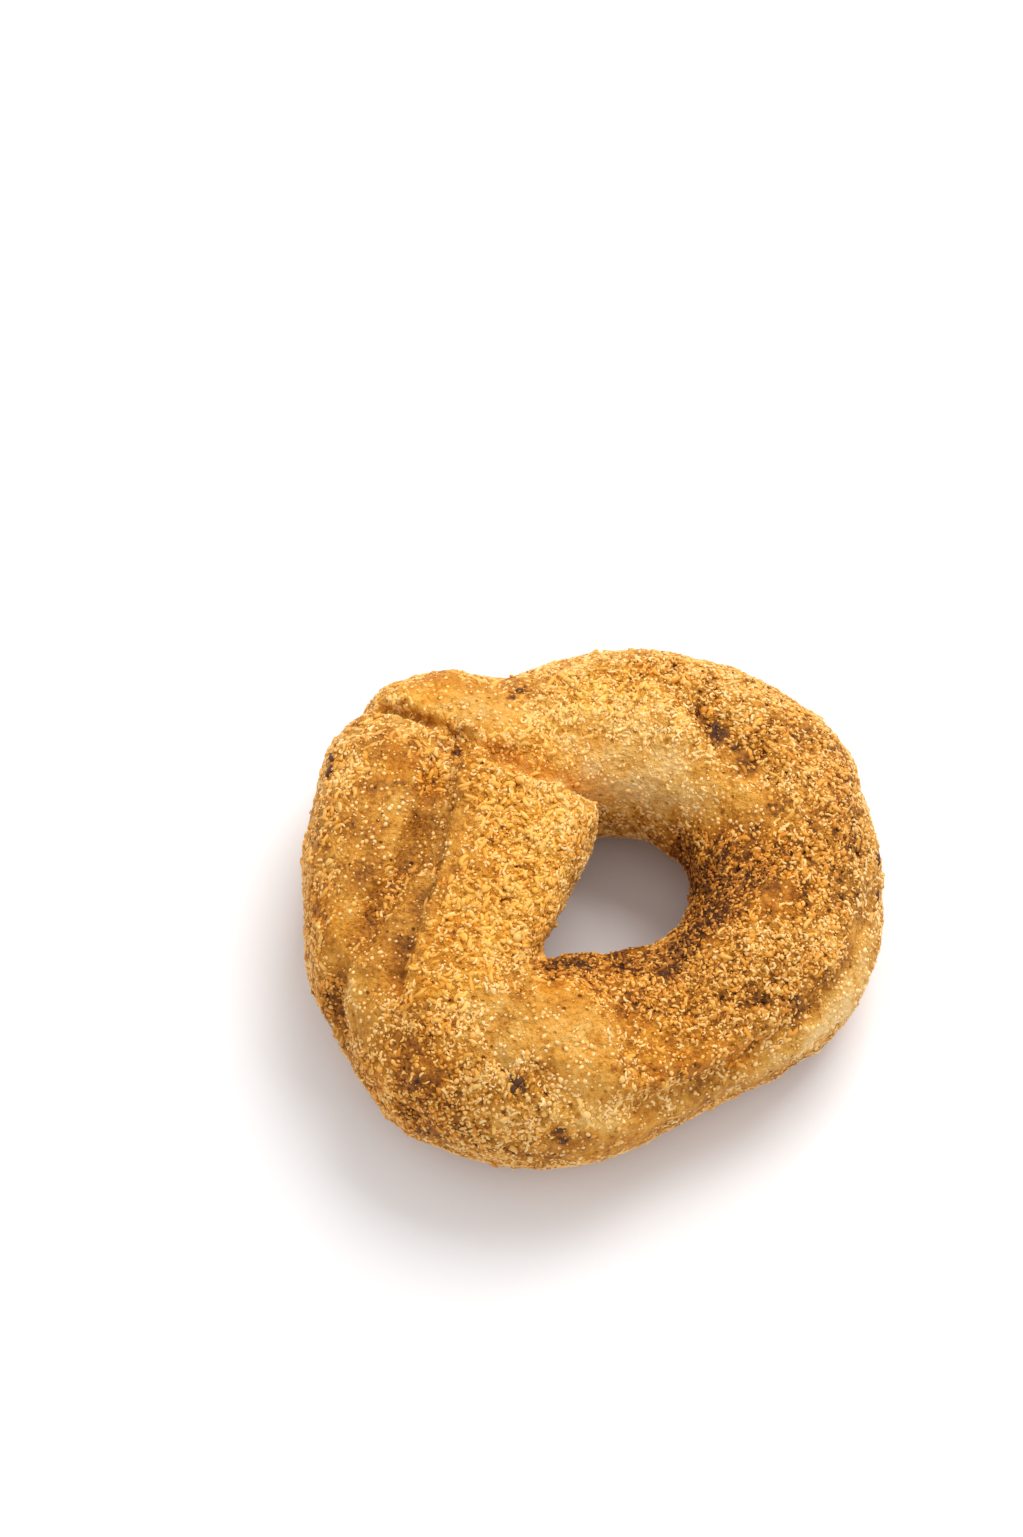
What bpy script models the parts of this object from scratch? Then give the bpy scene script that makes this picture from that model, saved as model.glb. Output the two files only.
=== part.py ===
"""A tarallo: one rope of dough bent into a ring, with its broad end lapped over the other
end and pressed down, rolled in coarse crumbs and baked on a tray. It is one solid.

The ring lies flat with +Z up. Plan angles are counted from +X, counterclockwise seen from
above. The rope starts under the lap at the back left and runs clockwise round the hole.
"""

import math
import random

import bmesh
import bpy
import numpy as np
from mathutils import Matrix, Vector, noise

MM = 0.001

# A strand's section is a superellipse, rounder above than on the tray side.
SECTION_POINTS = 56
RINGS_PER_STATION = 7
BELLY_POWER = 2.4
CAP_RINGS = 5

# Fusing the strands into one piece of dough, in metres.
VOXEL = 0.7 * MM
SMOOTHING_STEPS = 5
DOUGH_TRIANGLES = 6700
IRONING_PASSES = 6
FOLDED = math.radians(70)

# Crumbs baked onto the crust: only the largest are solid.
CRUMBS = 150
CRUMB_RADII = (0.6 * MM, 1.3 * MM)
CRUMB_SINK = 0.30
CRUMB_CLEAR_OF_TRAY = 4.5 * MM

CRUST_COLOUR = (0.62, 0.31, 0.09, 1.0)

# Stations of a strand: outer rail (angle, radius), inner rail (angle, radius), underside
# height and top height, all in degrees and millimetres, then how far the crest leans
# outwards, as a share of half the width.
ROPE = [
    ((173, 35.0), (173, 19.0), 1.0, 10.0, 0.0),
    ((160, 39.5), (160, 15.0), -0.4, 15.5, 0.0),
    ((146, 41.4), (146, 13.4), -0.6, 20.4, 0.1),
    ((132, 43.4), (132, 13.4), -0.6, 22.2, 0.1),
    ((121, 40.0), (121, 12.4), -0.6, 22.4, 0.1),
    ((110, 36.0), (110, 12.5), -0.6, 22.0, 0.0),
    ((97, 36.4), (97, 12.8), -0.6, 22.8, 0.0),
    ((82, 38.3), (82, 13.1), -0.6, 23.8, 0.0),
    ((66, 39.5), (66, 13.6), -0.6, 24.4, 0.0),
    ((50, 40.2), (50, 14.2), -0.6, 24.6, 0.0),
    ((35, 41.8), (35, 14.2), -0.6, 24.6, 0.0),
    ((18, 40.1), (18, 13.4), -0.6, 24.2, 0.0),
    ((0, 38.9), (0, 12.4), -0.6, 24.0, 0.0),
    ((-20, 37.9), (-20, 11.2), -0.6, 23.6, -0.1),
    ((-38, 34.4), (-38, 9.8), -0.6, 23.0, -0.1),
    ((-57, 31.2), (-57, 8.6), -0.6, 22.8, -0.1),
    ((-78, 33.0), (-78, 8.0), -0.6, 23.6, 0.0),
    ((-97, 35.8), (-97, 8.0), -0.6, 24.6, 0.0),
    ((-112, 37.7), (-112, 8.8), -0.6, 25.0, 0.0),
    ((-130, 39.8), (-130, 11.2), -0.6, 24.8, 0.0),
    ((-149, 38.3), (-149, 12.2), -0.6, 24.2, 0.1),
    ((-168, 39.6), (-168, 12.8), -0.6, 24.0, 0.25),
    ((-183, 39.2), (-183, 13.0), -0.6, 24.6, 0.2),
    ((-198, 40.5), (-198, 13.2), 1.0, 24.6, 0.15),
    ((-210, 41.8), (-212, 15.0), 4.0, 24.2, 0.1),
    ((-216, 41.8), (-221, 18.0), 6.0, 23.4, 0.0),
]
LAP = [
    ((-126, 37.0), (-114, 29.0), 7.0, 20.6, 0.0),
    ((-135, 34.6), (-119, 26.6), 8.0, 24.0, 0.0),
    ((-144, 31.8), (-123, 22.6), 9.0, 25.8, 0.0),
    ((-153, 28.4), (-124, 16.2), 9.6, 26.6, 0.1),
    ((-162, 25.2), (-126, 10.2), 10.0, 27.0, 0.1),
    ((-175, 22.0), (-152, 3.8), 10.5, 27.2, 0.1),
    ((-192, 20.6), (-252, 2.9), 11.2, 27.2, 0.1),
    ((-208, 22.0), (-274, 6.5), 12.0, 27.0, 0.0),
    ((-221, 26.0), (-279, 9.6), 13.0, 26.4, 0.0),
]
# Length that each end rounds off over, in millimetres: the start and the finish.
ROPE_CAPS = (5.0, 3.0)
LAP_CAPS = (6.0, 1.8)
# How square the crest of each strand is: 2 is an ellipse, more is a flatter top.
ROPE_CROWN = 2.15
LAP_CROWN = 2.9

# Furrows where the twisted dough folded over itself: a route of (angle, radius, height) in
# degrees and millimetres, then the depth, the half-width, and how high the crust swells
# beside it, on the left and on the right of the way the route runs.
FURROWS = [
    ([(139, 41, 20), (136, 35.4, 22), (133, 30, 23), (127, 24.4, 22), (117, 17.2, 21)], 1.0, 1.1, 0.0, 0.0),
    ([(168, 23.6, 24), (178, 25, 24), (189, 28.3, 23.5), (196, 32.2, 22), (200, 35.4, 20), (206, 37.8, 17), (213, 39.5, 13)], 1.0, 2.2, 0.2, 0.4),
    ([(211, 30, 24), (217, 32.6, 23), (226, 36.9, 20), (233, 39.2, 15)], 0.6, 1.5, 0.2, 0.2),
    ([(-121, 19, 22), (-119, 26.6, 23), (-112, 29.4, 22), (-104, 31.7, 18), (-98, 32.9, 12)], 0.5, 1.6, 0.2, 0.2),
    ([(64, 29.6, 22), (53, 26.9, 24.4), (42, 26, 24.6), (31, 26.9, 24.4)], 0.8, 2.3, 0.2, 0.2),
    ([(38, 16.8, 17), (22, 18.2, 22), (17, 22.7, 24), (18, 28.8, 24)], 0.35, 2.6, 0.3, 0.0),
    ([(0, 37.6, 15), (-18, 36, 16), (-32, 32, 17), (-47, 30.6, 17), (-65, 30.2, 17), (-79, 30.2, 17)], 0.5, 2.0, 0.35, 0.0),
]
# Broad dents and swellings: (angle, radius, height), reach and rise, in millimetres.
SWELLINGS = [
    ((-98, 23.5, 24), 8.0, 0.9),
    ((72, 22.0, 22), 8.0, 0.7),
    ((-25, 27.0, 24), 9.0, 0.5),
    ((130, 33.0, 20), 8.0, 0.8),
    ((-66, 26.0, 23), 5.0, -0.6),
    ((-164, 29.0, 25), 5.0, -0.4),
]
# Lumps of the whole crust: size and rise in millimetres.
LUMPS = [(13.0, 0.7), (6.0, 0.5), (3.0, 0.3)]


def polar(angle_deg, radius_mm, height_mm=0.0):
    """A point given by its plan angle, radius and height, in metres."""
    angle = math.radians(angle_deg)
    return Vector((math.cos(angle) * radius_mm, math.sin(angle) * radius_mm, height_mm)) * MM


def between(before, start, end, after, t):
    """Catmull-Rom from start to end, which keeps a rail smooth through every station."""
    return 0.5 * (
        2 * start
        + (end - before) * t
        + (2 * before - 5 * start + 4 * end - after) * t * t
        + (3 * start - before - 3 * end + after) * t**3
    )


def rails(stations):
    """One row for each ring of the strand: outer x, y, inner x, y, underside, top, lean."""
    rows = [
        np.array([*polar(*outer)[:2], *polar(*inner)[:2], low * MM, high * MM, lean])
        for outer, inner, low, high, lean in stations
    ]
    rows = [2 * rows[0] - rows[1], *rows, 2 * rows[-1] - rows[-2]]
    found = []
    for i in range(1, len(rows) - 2):
        for step in range(RINGS_PER_STATION):
            found.append(between(*rows[i - 1 : i + 3], step / RINGS_PER_STATION))
    return [*found, rows[-2]]


def section(row, crown, shrink=1.0, advance=Vector((0.0, 0.0))):
    """The points of one ring, counted from the outer rail over the crest."""
    outer, inner = Vector(row[0:2]), Vector(row[2:4])
    middle = (outer + inner) / 2 + advance
    half = (outer - inner) / 2 * math.sqrt(shrink)
    centre_height, half_height = (row[4] + row[5]) / 2, (row[5] - row[4]) / 2 * shrink
    points = []
    for k in range(SECTION_POINTS):
        turn = 2 * math.pi * k / SECTION_POINTS
        power = crown if math.sin(turn) > 0 else BELLY_POWER
        across = math.copysign(abs(math.cos(turn)) ** (2 / power), math.cos(turn))
        up = math.copysign(abs(math.sin(turn)) ** (2 / power), math.sin(turn))
        across += row[6] * max(up, 0.0) * (1 - across * across)
        place = middle + half * across
        points.append(Vector((place.x, place.y, centre_height + half_height * up)))
    return points


def cap_sections(rows, crown, last, length):
    """Rings that round off an end, from the end ring outwards."""
    row, neighbour = (rows[-1], rows[-3]) if last else (rows[0], rows[2])
    heading = Vector(row[0:2] + row[2:4]) - Vector(neighbour[0:2] + neighbour[2:4])
    heading.normalize()
    rings = []
    for j in range(1, CAP_RINGS):
        angle = math.pi / 2 * j / CAP_RINGS
        advance = heading * length * math.sin(angle)
        rings.append(section(row, crown, math.cos(angle), advance))
    return rings


def loft(mesh, stations, caps, crown):
    """Adds one closed strand to the bmesh: sections along its rails, rounded at both ends."""
    rows = rails(stations)
    start = cap_sections(rows, crown, False, caps[0] * MM)[::-1]
    finish = cap_sections(rows, crown, True, caps[1] * MM)
    rings = [
        [mesh.verts.new(p) for p in ring]
        for ring in [*start, *(section(row, crown) for row in rows), *finish]
    ]
    for ring, following in zip(rings, rings[1:]):
        for k in range(SECTION_POINTS):
            after = (k + 1) % SECTION_POINTS
            mesh.faces.new((ring[k], following[k], following[after], ring[after]))
    for ring in (rings[0], rings[-1]):
        mesh.faces.new(ring)


def linked(name, mesh, collection):
    made = bpy.data.objects.new(name, mesh)
    collection.objects.link(made)
    return made


def applied(piece):
    """Replaces the piece's mesh by what its modifiers make of it."""
    graph = bpy.context.evaluated_depsgraph_get()
    finished = bpy.data.meshes.new_from_object(piece.evaluated_get(graph))
    old = piece.data
    piece.modifiers.clear()
    piece.data = finished
    bpy.data.meshes.remove(old)


def fused_strands(collection):
    """The rope and its lap pressed into one skin."""
    strands = bmesh.new()
    loft(strands, ROPE, ROPE_CAPS, ROPE_CROWN)
    loft(strands, LAP, LAP_CAPS, LAP_CROWN)
    bmesh.ops.recalc_face_normals(strands, faces=strands.faces)
    mesh = bpy.data.meshes.new("strands")
    strands.to_mesh(mesh)
    strands.free()
    dough = linked("tarallo", mesh, collection)
    remesh = dough.modifiers.new("fuse", "REMESH")
    remesh.mode = "VOXEL"
    remesh.voxel_size = VOXEL
    remesh.adaptivity = 0.0
    soften = dough.modifiers.new("soften", "SMOOTH")
    soften.factor = 0.5
    soften.iterations = SMOOTHING_STEPS
    applied(dough)
    return dough


def distance_to_route(points, route):
    """Each point's distance to the route's nearest stretch, and which side it is on."""
    nearest = np.full(len(points), np.inf)
    side = np.zeros(len(points))
    for start, end in zip(route, route[1:]):
        along = end - start
        t = np.clip((points - start) @ along / (along @ along), 0.0, 1.0)
        offset = points - (start + t[:, None] * along)
        away = np.linalg.norm(offset, axis=1)
        turn = np.sign(along[0] * offset[:, 1] - along[1] * offset[:, 0])
        side = np.where(away < nearest, turn, side)
        nearest = np.minimum(nearest, away)
    return nearest, side


def furrow_relief(points):
    """The furrows' depth below the crust, with the swelling beside each."""
    relief = np.zeros(len(points))
    for route, depth, reach, left, right in FURROWS:
        line = [np.array(polar(*place)) for place in route]
        away, side = distance_to_route(points, line)
        away /= reach * MM
        relief -= depth * MM * np.exp(-(away**2))
        swell = np.exp(-(((away - 2.0) / 0.8) ** 2)) * MM
        relief += swell * np.where(side > 0, left, right)
    return relief


def swelling_relief(points):
    relief = np.zeros(len(points))
    for place, reach, rise in SWELLINGS:
        away = np.linalg.norm(points - np.array(polar(*place)), axis=1) / (reach * MM)
        relief += rise * MM * np.exp(-(away**2))
    return relief


def lump_relief(points):
    relief = np.zeros(len(points))
    for layer, (size, rise) in enumerate(LUMPS):
        shift = Vector((7.3 * layer, 3.1, 11.7))
        values = [noise.noise(Vector(p) / (size * MM) + shift) for p in points]
        relief += rise * MM * np.array(values)
    return relief


def knead(dough):
    """Moves the skin along its normals into furrows, swellings and lumps."""
    mesh = dough.data
    points = np.empty(len(mesh.vertices) * 3)
    normals = np.empty(len(mesh.vertices) * 3)
    mesh.vertices.foreach_get("co", points)
    mesh.vertex_normals.foreach_get("vector", normals)
    points, normals = points.reshape(-1, 3), normals.reshape(-1, 3)
    relief = furrow_relief(points) + swelling_relief(points) + lump_relief(points)
    mesh.vertices.foreach_set("co", (points + normals * relief[:, None]).ravel())
    mesh.update()


def thinned(dough):
    """Fewer, larger triangles, kept small only where the crust bends."""
    dough.data.calc_loop_triangles()
    thin = dough.modifiers.new("thin", "DECIMATE")
    thin.ratio = DOUGH_TRIANGLES / len(dough.data.loop_triangles)
    thin.use_collapse_triangulate = True
    applied(dough)


def ironed(dough):
    """Evens out the few places where thinning folded the crust over itself."""
    crust = bmesh.new()
    crust.from_mesh(dough.data)
    for _ in range(IRONING_PASSES):
        folded = [e for e in crust.edges if e.calc_face_angle(0.0) > FOLDED]
        corners = list({v for e in folded for v in e.verts})
        bmesh.ops.smooth_vert(
            crust, verts=corners, factor=0.6, use_axis_x=True, use_axis_y=True, use_axis_z=True
        )
        crust.normal_update()
    crust.to_mesh(dough.data)
    crust.free()


def flattened(dough, cutters):
    """Cuts the underside flat, where the dough lay on the tray."""
    block = bmesh.new()
    bmesh.ops.create_cube(block, size=0.12, matrix=Matrix.Translation((0, 0, -0.06)))
    mesh = bpy.data.meshes.new("tray")
    block.to_mesh(mesh)
    block.free()
    tray = linked("tray", mesh, cutters)
    tray.hide_render = True
    tray.display_type = "WIRE"
    cut = dough.modifiers.new("tray", "BOOLEAN")
    cut.operation = "DIFFERENCE"
    cut.object = tray
    applied(dough)
    bpy.data.objects.remove(tray)


def crumb_mesh(radius, facing, draw):
    """One angular crumb, turned any way and then pressed flatter onto the crust."""
    crumb = bmesh.new()
    bmesh.ops.create_icosphere(crumb, subdivisions=1, radius=radius)
    for vertex in crumb.verts:
        vertex.co *= draw.uniform(0.88, 1.12)
    axis = Vector((draw.gauss(0, 1), draw.gauss(0, 1), draw.gauss(0, 1)))
    crumb.transform(Matrix.Rotation(draw.uniform(0, 2 * math.pi), 4, axis))
    turn = facing.to_track_quat("Z", "Y").to_matrix()
    spin = Matrix.Rotation(draw.uniform(0, 2 * math.pi), 3, "Z")
    stretch = Matrix.Diagonal((draw.uniform(0.95, 1.4), draw.uniform(0.75, 1.0), 0.75))
    crumb.transform((turn @ spin @ stretch).to_4x4())
    mesh = bpy.data.meshes.new("crumb")
    crumb.to_mesh(mesh)
    crumb.free()
    return mesh


def scattered_crumbs(dough, collection, draw):
    """Crumbs drawn by area over the crust, kept apart and clear of the tray."""
    faces = [f for f in dough.data.polygons if f.center.z > CRUMB_CLEAR_OF_TRAY]
    areas = [f.area for f in faces]
    placed = []
    while len(placed) < CRUMBS:
        face = draw.choices(faces, areas)[0]
        radius = CRUMB_RADII[0] + (CRUMB_RADII[1] - CRUMB_RADII[0]) * draw.random() ** 2
        facing = Vector(face.normal)
        centre = Vector(face.center) - facing * radius * CRUMB_SINK
        if any((centre - other).length < 1.5 * (radius + reach) for other, reach in placed):
            continue
        placed.append((centre, radius))
        crumb = linked(f"crumb_{len(placed):03d}", crumb_mesh(radius, facing, draw), collection)
        crumb.location = centre


def crusted(dough, crumbs):
    """Fuses the crumbs with the crust in one union."""
    bpy.context.view_layer.update()
    join = dough.modifiers.new("crumbs", "BOOLEAN")
    join.operation = "UNION"
    join.operand_type = "COLLECTION"
    join.collection = crumbs
    join.solver = "EXACT"
    applied(dough)
    for crumb in list(crumbs.objects):
        bpy.data.objects.remove(crumb)


def centred(dough):
    """Puts the origin under the middle of the biscuit, on the tray."""
    corners = np.array([v.co for v in dough.data.vertices])
    low, high = corners.min(axis=0), corners.max(axis=0)
    shift = (-(low[0] + high[0]) / 2, -(low[1] + high[1]) / 2, -low[2])
    dough.data.transform(Matrix.Translation(shift))
    return shift


def crust_material():
    material = bpy.data.materials.new("crust")
    material.use_nodes = True
    surface = material.node_tree.nodes["Principled BSDF"]
    surface.inputs["Base Color"].default_value = CRUST_COLOUR
    surface.inputs["Roughness"].default_value = 0.8
    surface.inputs["Metallic"].default_value = 0.0
    return material


def new_collection(name):
    made = bpy.data.collections.new(name)
    bpy.context.scene.collection.children.link(made)
    return made


def main():
    for old in list(bpy.data.objects):
        bpy.data.objects.remove(old)
    parts = new_collection("tarallo")
    cutters = new_collection("cutters")
    crumbs = new_collection("crumbs")
    dough = fused_strands(parts)
    knead(dough)
    thinned(dough)
    ironed(dough)
    flattened(dough, cutters)
    scattered_crumbs(dough, crumbs, random.Random(7))
    crusted(dough, crumbs)
    shift = centred(dough)
    dough.data.materials.append(crust_material())
    dough.data.shade_smooth()
    dough.data.calc_loop_triangles()
    print("triangles", len(dough.data.loop_triangles), "moved by", [round(s / MM, 3) for s in shift])


main()
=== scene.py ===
# %% [markdown]
# # A crumb-coated tarallo
# A tarallo is a rope of sweet dough bent into a ring. One end is lapped over the other and
# pressed down with the fingers, then the ring is rolled in coarse sugar and crumbs and baked.
# The lesson has four parts: the photographer's table, the dough, the crumbs that stick to it,
# and the finishes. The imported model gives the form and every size, so it is loaded first.

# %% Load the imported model
import math

import bpy
import numpy as np
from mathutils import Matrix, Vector, noise


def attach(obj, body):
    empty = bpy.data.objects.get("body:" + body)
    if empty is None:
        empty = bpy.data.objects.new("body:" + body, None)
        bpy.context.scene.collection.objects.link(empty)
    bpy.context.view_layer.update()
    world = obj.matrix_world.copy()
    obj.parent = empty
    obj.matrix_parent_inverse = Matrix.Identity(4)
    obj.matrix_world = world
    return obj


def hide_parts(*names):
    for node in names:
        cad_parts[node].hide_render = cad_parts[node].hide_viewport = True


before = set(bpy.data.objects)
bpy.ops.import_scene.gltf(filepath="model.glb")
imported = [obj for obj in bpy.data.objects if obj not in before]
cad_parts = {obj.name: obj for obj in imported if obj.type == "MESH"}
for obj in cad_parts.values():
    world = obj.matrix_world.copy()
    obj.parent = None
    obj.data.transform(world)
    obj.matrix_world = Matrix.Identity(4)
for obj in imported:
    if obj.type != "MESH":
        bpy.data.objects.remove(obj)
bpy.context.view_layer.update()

MM = 0.001
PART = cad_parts["tarallo"]

# %% [markdown]
# ## The camera
# The biscuit lies flat and the camera looks down at it steeply. A long lens from half a metre
# away keeps the near side from swelling. The aim is a point of the table, not of the biscuit,
# because the biscuit lies low in the picture and left of its middle.

# %% Place the camera
LENS_MM = 90.0
CAMERA_ELEVATION = math.radians(65)
CAMERA_DISTANCE = 0.540
AIM = Vector((-0.0109, 0.0254, 0.0))

bpy.ops.object.select_all(action="DESELECT")
backwards = Vector((0, -math.cos(CAMERA_ELEVATION), math.sin(CAMERA_ELEVATION)))
bpy.ops.object.camera_add(
    location=AIM + backwards * CAMERA_DISTANCE,
    rotation=(math.pi / 2 - CAMERA_ELEVATION, 0, 0),
)
camera = bpy.context.object
camera.name = "camera"
camera.data.lens = LENS_MM
camera.data.sensor_width = 36.0
camera.data.clip_start = 0.02
bpy.context.scene.camera = camera
print("camera at", [round(c, 3) for c in camera.location])

# %% [markdown]
# ## Table and light
# The table is a white sheet that burns out to plain white. A large soft lamp stands behind and
# to the right, so the near left side falls into a gentle shade, and the sky fills the rest.
# Soft lamps are big lamps: the width sets how soft a shadow's edge is.

# %% Lay the table and hang the lamps
TABLE_SIZE = 3.0
LAMPS = {
    "key_lamp": ((0.28, 0.52, 0.73), 0.55, 6.8),
}
SKY_STRENGTH = 0.88

bpy.ops.mesh.primitive_plane_add(size=TABLE_SIZE)
table = bpy.context.object
table.name = "table"

for name, (place, width, power) in LAMPS.items():
    bpy.ops.object.light_add(type="AREA", location=place)
    lamp = bpy.context.object
    lamp.name = name
    lamp.data.size = width
    lamp.data.energy = power
    lamp.rotation_euler = Vector(place).to_track_quat("Z", "Y").to_euler()

sky = bpy.data.worlds.new("sky")
sky.use_nodes = True
sky.node_tree.nodes["Background"].inputs["Color"].default_value = (0.99, 0.99, 1.0, 1.0)
sky.node_tree.nodes["Background"].inputs["Strength"].default_value = SKY_STRENGTH
bpy.context.scene.world = sky
bpy.context.scene.view_settings.view_transform = "Standard"
print("lamps:", ", ".join(LAMPS))

# %% [markdown]
# ## The dough
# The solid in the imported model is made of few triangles, so its facets would show. A copy of
# it is merged, wrapped in a fine even skin by a voxel remesh, and smoothed until the facets
# are gone. The low sides and the flat base get fewer triangles than the top, because little
# of the relief below is pushed into them.

# %% Wrap the dough in a fine skin
SKIN_VOXEL = 0.40 * MM
TRIANGLES = 196000
THINNED_BELOW = 9.0 * MM
SMOOTHING = 7

bpy.ops.object.select_all(action="DESELECT")
dough = bpy.data.objects.new("dough", PART.data.copy())
bpy.context.scene.collection.objects.link(dough)
dough.data.materials.clear()
dough.select_set(True)
bpy.context.view_layer.objects.active = dough
bpy.ops.object.mode_set(mode="EDIT")
bpy.ops.mesh.select_all(action="SELECT")
bpy.ops.mesh.remove_doubles(threshold=0.001 * MM)
bpy.ops.object.mode_set(mode="OBJECT")

remesh = dough.modifiers.new("skin", "REMESH")
remesh.mode = "VOXEL"
remesh.voxel_size = SKIN_VOXEL
smooth = dough.modifiers.new("smooth", "SMOOTH")
smooth.factor = 0.5
smooth.iterations = SMOOTHING
bpy.ops.object.modifier_apply(modifier="skin")
bpy.ops.object.modifier_apply(modifier="smooth")

low = dough.vertex_groups.new(name="low")
low.add([v.index for v in dough.data.vertices if v.co.z < THINNED_BELOW], 1.0, "REPLACE")
thin = dough.modifiers.new("thin", "DECIMATE")
thin.ratio = TRIANGLES / (2 * len(dough.data.polygons))
thin.vertex_group = "low"
bpy.ops.object.modifier_apply(modifier="thin")
dough.vertex_groups.clear()
print("dough has", len(dough.data.polygons), "faces")

# %% [markdown]
# ## Reading the surface
# The relief, the colours and the crumbs all depend on where a point lies. These helpers work
# on arrays of points in millimetres. A fade falls off around marked spots, a route gives the
# distance to a drawn line and its side, clouds and cells are seeded noise.


# %% Helpers that read points
def surface(piece):
    """The piece's corners and their normals, the corners in millimetres."""
    count = len(piece.data.vertices)
    corners, normals = np.empty(count * 3), np.empty(count * 3)
    piece.data.vertices.foreach_get("co", corners)
    piece.data.vertex_normals.foreach_get("vector", normals)
    return corners.reshape(-1, 3) / MM, normals.reshape(-1, 3)


def fade(points, spots):
    """The fifth number of a spot, or 1, at the spots (x, y, z, reach) and 0 away from them."""
    value = np.zeros(len(points))
    for x, y, z, reach, *strength in spots:
        away = np.linalg.norm(points - np.array((x, y, z)), axis=1) / reach
        value = np.maximum(value, np.exp(-(away**3)) * (strength[0] if strength else 1.0))
    return value


def route_distance(points, route):
    """How far each point is from the route, and +1 on its left or -1 on its right."""
    nearest, side = np.full(len(points), np.inf), np.zeros(len(points))
    stops = [np.array(stop, float) for stop in route]
    for start, end in zip(stops, stops[1:]):
        along = end - start
        share = np.clip((points - start) @ along / (along @ along), 0, 1)
        offset = points - (start + share[:, None] * along)
        away = np.linalg.norm(offset, axis=1)
        turn = np.sign(along[0] * offset[:, 1] - along[1] * offset[:, 0])
        side = np.where(away < nearest, turn, side)
        nearest = np.minimum(nearest, away)
    return nearest, side


def cloud(points, size, seed, depth=2):
    """Cloudy noise of about -1 to 1 with lumps of the size."""
    shift = Vector((seed * 7.31, seed * 3.17, seed * 5.93))
    return np.array([noise.fractal(Vector(p) / size + shift, 1.0, 2.0, depth) for p in points])


def cells(points, size, seed):
    """Distance to the nearest of scattered centres, and the gap to the next one."""
    shift = Vector((seed * 5.77, seed * 8.19, seed * 2.71))
    nearest = np.array([noise.voronoi(Vector(p) / size + shift)[0][:2] for p in points])
    return nearest[:, 0], nearest[:, 1] - nearest[:, 0]


def step(value, low, high):
    """0 below low and 1 above high, with a soft change between."""
    share = np.clip((value - low) / (high - low), 0, 1)
    return share * share * (3 - 2 * share)


def at_least(least, share):
    """The share, squeezed from 0..1 into least..1."""
    return least + (1 - least) * share


def keep(piece, name, values):
    """Stores one value for each corner, for the materials to read."""
    stored = piece.data.attributes.new(name, "FLOAT", "POINT")
    stored.data.foreach_set("value", np.ascontiguousarray(values, dtype=np.float32))


# %% [markdown]
# ## Where the crust differs
# The crumbs don't cover the dough evenly. The lap and the right half are thick with them, some
# folds stayed bare, sugar ran into amber patches, and flour left other places dusty. The toasted
# spots are partly crust that toasted brown, like the shoulder below the hole, and partly painted
# shade where the crust lies in shadow, such as the rim of the hole. The light spots are partly
# lobes that stayed light, and partly painted light on places that face away from the lamp, with a
# few painted highlights along streaks. Each list marks such places with round spots: x, y, z and
# reach in millimetres. A fifth number is the spot's strength, where it isn't 1. For toasted and
# light spots it says how much darker or paler they are painted. In the last list, of burnt bits,
# the fourth number is the size of the bit.

# %% Mark the places
BARE = [
    (-1.7, 14.0, 19.0, 4.0, 0.6), (3.7, 13.8, 19.5, 4.5, 0.5), (9.0, 12.8, 20.8, 5.0, 0.45),
    (14.5, 11.5, 22.5, 5.0, 0.45), (19.5, 10.0, 24.0, 4.2, 0.5), (24.0, 9.0, 24.3, 3.4, 0.6),
    (3.0, 16.5, 21.0, 4.0, 0.6), (-26.6, 14.0, 24.5, 3.2), (-27.3, 9.0, 25.0, 3.9),
    (-28.3, 3.0, 25.3, 4.2), (-30.9, -2.2, 24.4, 3.8), (-32.8, -7.4, 23.2, 3.2),
    (-33.6, -12.0, 21.0, 3.2), (-23.4, -3.1, 23.3, 2.2), (-26.2, -9.6, 23.5, 2.4),
    (-28.7, -15.2, 23.2, 2.8), (-31.0, -19.0, 20.3, 2.8), (-3.3, -25.0, 25.3, 5.2),
    (-4.6, -20.2, 25.5, 3.2), (-0.8, -28.6, 23.8, 4.2), (-8.0, -23.0, 25.6, 3.2),
    (-20.6, 26.7, 22.4, 4.2), (-16.5, 26.0, 22.8, 3.2), (-12.4, 23.0, 22.5, 3.0),
    (35.6, -8.0, 17.0, 3.4), (34.0, -14.0, 15.5, 3.8), (30.0, -20.0, 14.0, 3.8),
    (24.0, -24.5, 12.5, 4.0), (14.0, -29.0, 13.0, 4.0), (6.0, -33.5, 14.0, 3.4),
    (-0.7, -35.4, 14.5, 3.2), (-11.1, -25.0, 25.0, 2.6), (-12.4, -21.0, 25.4, 2.2),
    (-22.8, 3.0, 23.8, 2.6), (-22.2, 8.0, 24.0, 2.4), (-24.6, -6.5, 23.6, 2.6),
    (-27.0, -12.5, 23.4, 2.6), (-25.5, 2.0, 24.0, 2.6), (-29.0, -9.0, 23.8, 2.8),
    (-17.2, 12.5, 25.0, 1.9), (-17.7, 9.0, 25.2, 1.9), (-18.1, 5.5, 25.2, 1.9),
    (-18.8, 2.0, 25.2, 1.9), (-19.7, -1.5, 25.4, 1.9), (-20.8, -4.8, 25.6, 1.9),
    (-22.0, -8.0, 25.6, 1.9), (-23.0, -11.5, 25.4, 1.9), (19.4, 16.2, 23.9, 1.9),
    (17.0, 19.4, 24.0, 1.5), (21.8, 13.4, 24.1, 1.6),
    (22.6, -4.0, 24.1, 1.9), (25.2, -3.6, 24.0, 1.9), (9.3, -23.5, 21.8, 4.5, 0.45),
    (15.0, -24.0, 20.0, 4.5, 0.35),
]
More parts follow.
